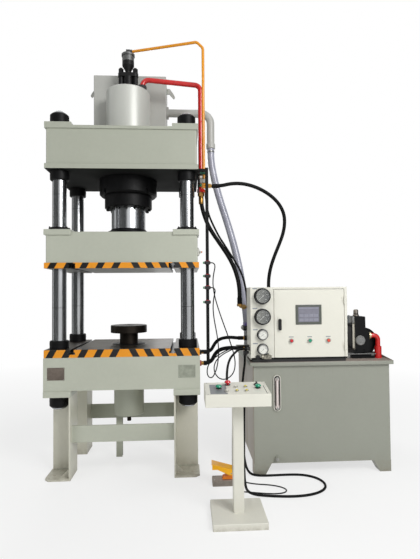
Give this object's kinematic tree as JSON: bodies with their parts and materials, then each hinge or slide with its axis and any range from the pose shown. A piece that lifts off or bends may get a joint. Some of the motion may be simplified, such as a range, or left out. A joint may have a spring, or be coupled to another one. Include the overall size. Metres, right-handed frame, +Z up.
{
  "type": "four-column hydraulic press with power unit",
  "caption": "Upright four-column hydraulic press with guided slide, ejector, oil power unit, control cabinet, two-hand console and foot pedal.",
  "frame": {"origin": "on the floor under the press axis, at the centre of the four anchor holes", "axes": "+Z up along the ram, -Y towards the operator, +X towards the power unit"},
  "size_m": [2.746, 1.832, 3.574],
  "materials": {
    "press_paint": "semi-gloss enamel",
    "bed_steel": "enamel with an oiled machined top",
    "chrome_rod": "hard chrome, polished",
    "black_steel": "black oxide, oiled",
    "dark_steel": "oiled machined steel",
    "red_enamel": "gloss enamel",
    "yellow_enamel": "gloss enamel",
    "black_paint": "satin enamel",
    "tank_paint": "semi-gloss enamel",
    "cabinet_paint": "satin powder coat",
    "grey_aluminium": "cast, satin",
    "bare_steel": "zinc plated",
    "gauge_plastic": "gloss",
    "screen_plastic": "satin",
    "red_plastic": "gloss",
    "green_plastic": "gloss",
    "orange_plastic": "gloss",
    "black_plastic": "satin",
    "yellow_paint": "gloss enamel",
    "black_hose": "matt rubber",
    "clear_hose": "translucent, ribbed",
    "cable_sheath": "matt sheath"
  },
  "bodies": {
    "frame": {"bed": "bed_steel", "leg_frame_front": "press_paint", "leg_frame_rear": "press_paint", "columns": "chrome_rod", "column_nuts": "black_steel", "crosshead": "press_paint", "cylinder_barrel": "press_paint", "cylinder_locknut": "black_steel", "gland_rings": "black_steel", "prefill_valve": "black_steel", "fill_tank": "press_paint", "pressure_pipe": "red_enamel", "pilot_pipe": "yellow_enamel", "pipe_clamps": "black_paint", "sensor_bar": "black_paint", "limit_sensors": "red_plastic", "ejector_barrel": "press_paint", "oil_tank": "tank_paint", "tank_lid": "tank_paint", "level_gauge": "bare_steel", "cabinet": "cabinet_paint", "pressure_gauges": "gauge_plastic", "motor": "black_paint", "pump": "black_paint", "pump_pipe": "red_enamel", "valve_manifold": "black_steel", "solenoid_valves": "black_plastic", "console_stand": "cabinet_paint", "console_box": "cabinet_paint", "pedal_base": "grey_aluminium", "main_hose": "black_hose", "pressure_hose": "black_hose", "gauge_hose": "black_hose", "fill_hose": "clear_hose", "ejector_hose_upper": "black_hose", "ejector_hose_lower": "black_hose", "sensor_cable_left": "cable_sheath", "sensor_cable_right": "cable_sheath", "console_cable": "cable_sheath", "floor_cable": "cable_sheath", "pedal_cable": "cable_sheath"},
    "slide": {"slide": "press_paint", "guide_bushings": "black_steel", "ram": "chrome_rod", "striker": "bare_steel"},
    "ejector": {"ejector_rod": "dark_steel", "ejector_disc": "dark_steel"},
    "motor_rotor": {"motor_rotor": "bare_steel"},
    "cabinet_door": {"cabinet_door": "cabinet_paint", "touch_screen": "screen_plastic"},
    "door_handle": {"door_handle": "black_plastic"},
    "start_button": {"start_button": "green_plastic"},
    "stop_button": {"stop_button": "red_plastic"},
    "reset_button": {"reset_button": "orange_plastic"},
    "emergency_stop": {"emergency_stop": "red_plastic"},
    "palm_button_left": {"palm_button_left": "green_plastic"},
    "palm_button_right": {"palm_button_right": "green_plastic"},
    "selector_switch": {"selector_switch": "black_plastic"},
    "pedal_plate": {"pedal_plate": "yellow_paint"},
    "relief_knob": {"relief_knob": "black_plastic"}
  },
  "joints": [
    {"name": "slide_travel", "type": "slide", "parent": "frame", "child": "slide", "axis": [0, 0, 1], "range_m": [-0.4, 0.18]},
    {"name": "ejector_travel", "type": "slide", "parent": "frame", "child": "ejector", "axis": [0, 0, 1], "range_m": [-0.085, 0.05]},
    {"name": "motor_spin", "type": "hinge", "parent": "frame", "child": "motor_rotor", "pos_m": [1.985, 0.26, 1.014], "axis": [0, 1, 0], "continuous": true},
    {"name": "door_swing", "type": "hinge", "parent": "frame", "child": "cabinet_door", "pos_m": [1.7545, -0.428, 1.18], "axis": [0, 0, 1], "range_deg": [0, 110]},
    {"name": "handle_turn", "type": "hinge", "parent": "cabinet_door", "child": "door_handle", "pos_m": [1.233, -0.43, 1.208], "axis": [0, -1, 0], "range_deg": [0, 90]},
    {"name": "start_press", "type": "slide", "parent": "cabinet_door", "child": "start_button", "axis": [0, 1, 0], "range_m": [0, 0.004], "stiffness_N_per_m": 400, "springref_m": -0.003},
    {"name": "stop_press", "type": "slide", "parent": "cabinet_door", "child": "stop_button", "axis": [0, 1, 0], "range_m": [0, 0.004], "stiffness_N_per_m": 400, "springref_m": -0.003},
    {"name": "reset_press", "type": "slide", "parent": "cabinet_door", "child": "reset_button", "axis": [0, 1, 0], "range_m": [0, 0.004], "stiffness_N_per_m": 400, "springref_m": -0.003},
    {"name": "emergency_press", "type": "slide", "parent": "frame", "child": "emergency_stop", "axis": [0, 0.1034, -0.9946], "range_m": [0, 0.005]},
    {"name": "palm_left_press", "type": "slide", "parent": "frame", "child": "palm_button_left", "axis": [0, 0.1034, -0.9946], "range_m": [0, 0.005], "stiffness_N_per_m": 600, "springref_m": -0.00375},
    {"name": "palm_right_press", "type": "slide", "parent": "frame", "child": "palm_button_right", "axis": [0, 0.1034, -0.9946], "range_m": [0, 0.005], "stiffness_N_per_m": 600, "springref_m": -0.00375},
    {"name": "selector_turn", "type": "hinge", "parent": "frame", "child": "selector_switch", "pos_m": [0.947, -1.032, 0.83062], "axis": [0, -0.1034, 0.9946], "range_deg": [-45, 45]},
    {"name": "pedal_press", "type": "hinge", "parent": "frame", "child": "pedal_plate", "pos_m": [0.822, -0.537, 0.092], "axis": [0, -1, 0], "range_deg": [0, 12], "stiffness_Nm_per_rad": 6, "springref_deg": -17.19},
    {"name": "knob_turn", "type": "hinge", "parent": "frame", "child": "relief_knob", "pos_m": [1.051, -0.44, 0.926], "axis": [0, -1, 0], "range_deg": [0, 270]}
  ]
}
